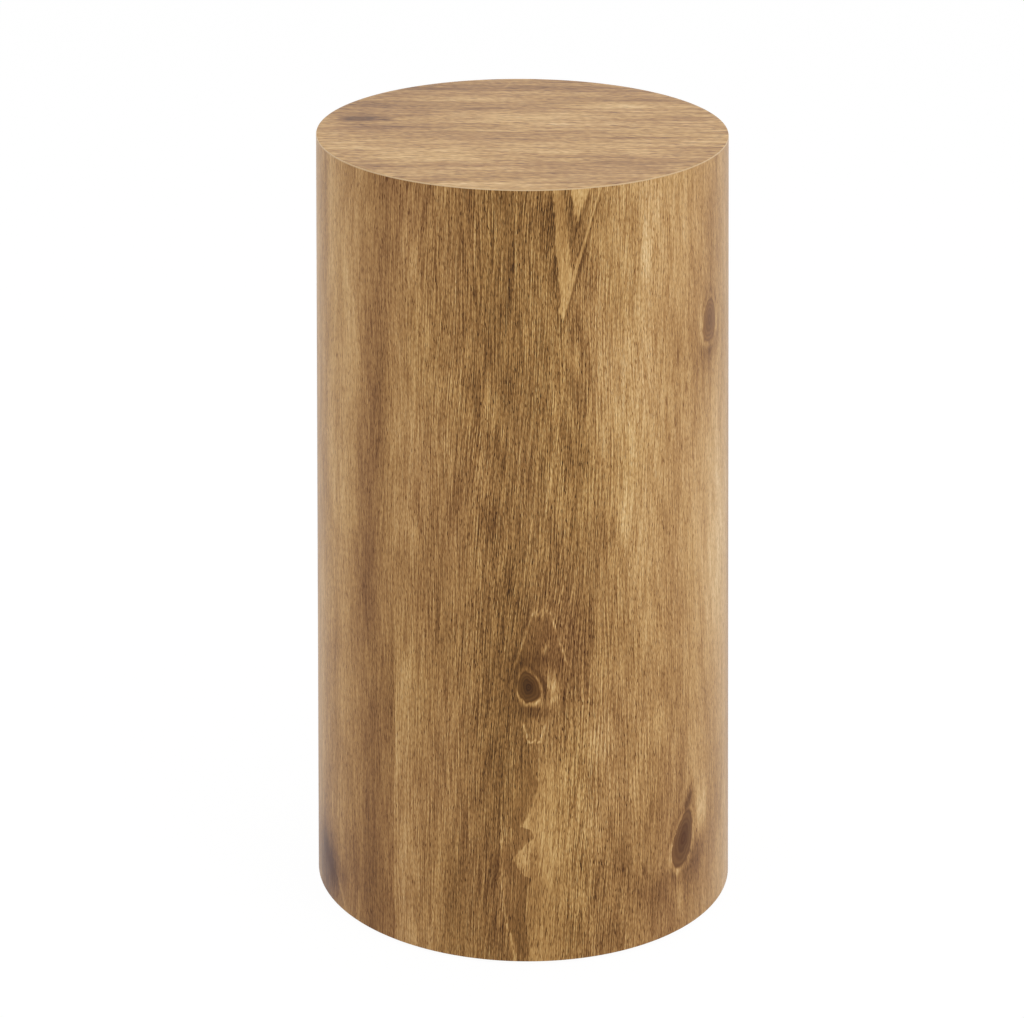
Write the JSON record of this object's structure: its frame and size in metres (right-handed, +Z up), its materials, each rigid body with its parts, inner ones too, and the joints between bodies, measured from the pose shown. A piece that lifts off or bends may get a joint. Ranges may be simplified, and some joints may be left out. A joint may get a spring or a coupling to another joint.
{
  "type": "round side table",
  "caption": "Round drum side table: a hollow cylinder of kerf-bent board on ring formers and posts, faced with wood-grain laminate, with a flush flat top, standing on nylon glides.",
  "frame": {"origin": "on the floor, on the drum's axis, at the soles of the glides", "axes": "+Z up along the drum's axis; -Y is the front, seen in the picture, and the seam is at the back, towards +Y"},
  "size_m": [0.305, 0.305, 0.553],
  "materials": {
    "wood_grain_top": "satin printed wood-grain laminate, grain left to right",
    "wood_grain_side": "satin printed wood-grain laminate, grain upright",
    "fibreboard": "bare medium-density fibreboard",
    "softwood": "planed bare softwood",
    "nylon": "moulded nylon",
    "steel": "zinc plated"
  },
  "bodies": {
    "root": {"top_laminate": "wood_grain_top", "side_laminate": "wood_grain_side", "drum_shell": "fibreboard", "top_panel": "fibreboard", "base_panel": "fibreboard", "rib_lower": "fibreboard", "rib_upper": "fibreboard", "post_front_left": "softwood", "post_front_right": "softwood", "post_rear_left": "softwood", "post_rear_right": "softwood", "seam_batten_lower": "softwood", "seam_batten_middle": "softwood", "seam_batten_upper": "softwood", "glide_front": "nylon", "glide_right": "nylon", "glide_rear": "nylon", "glide_left": "nylon", "base_brads": "steel", "top_brads": "steel", "rib_brads": "steel", "shell_brads": "steel", "seam_brads": "steel", "glide_prongs": "steel"}
  },
  "joints": []
}
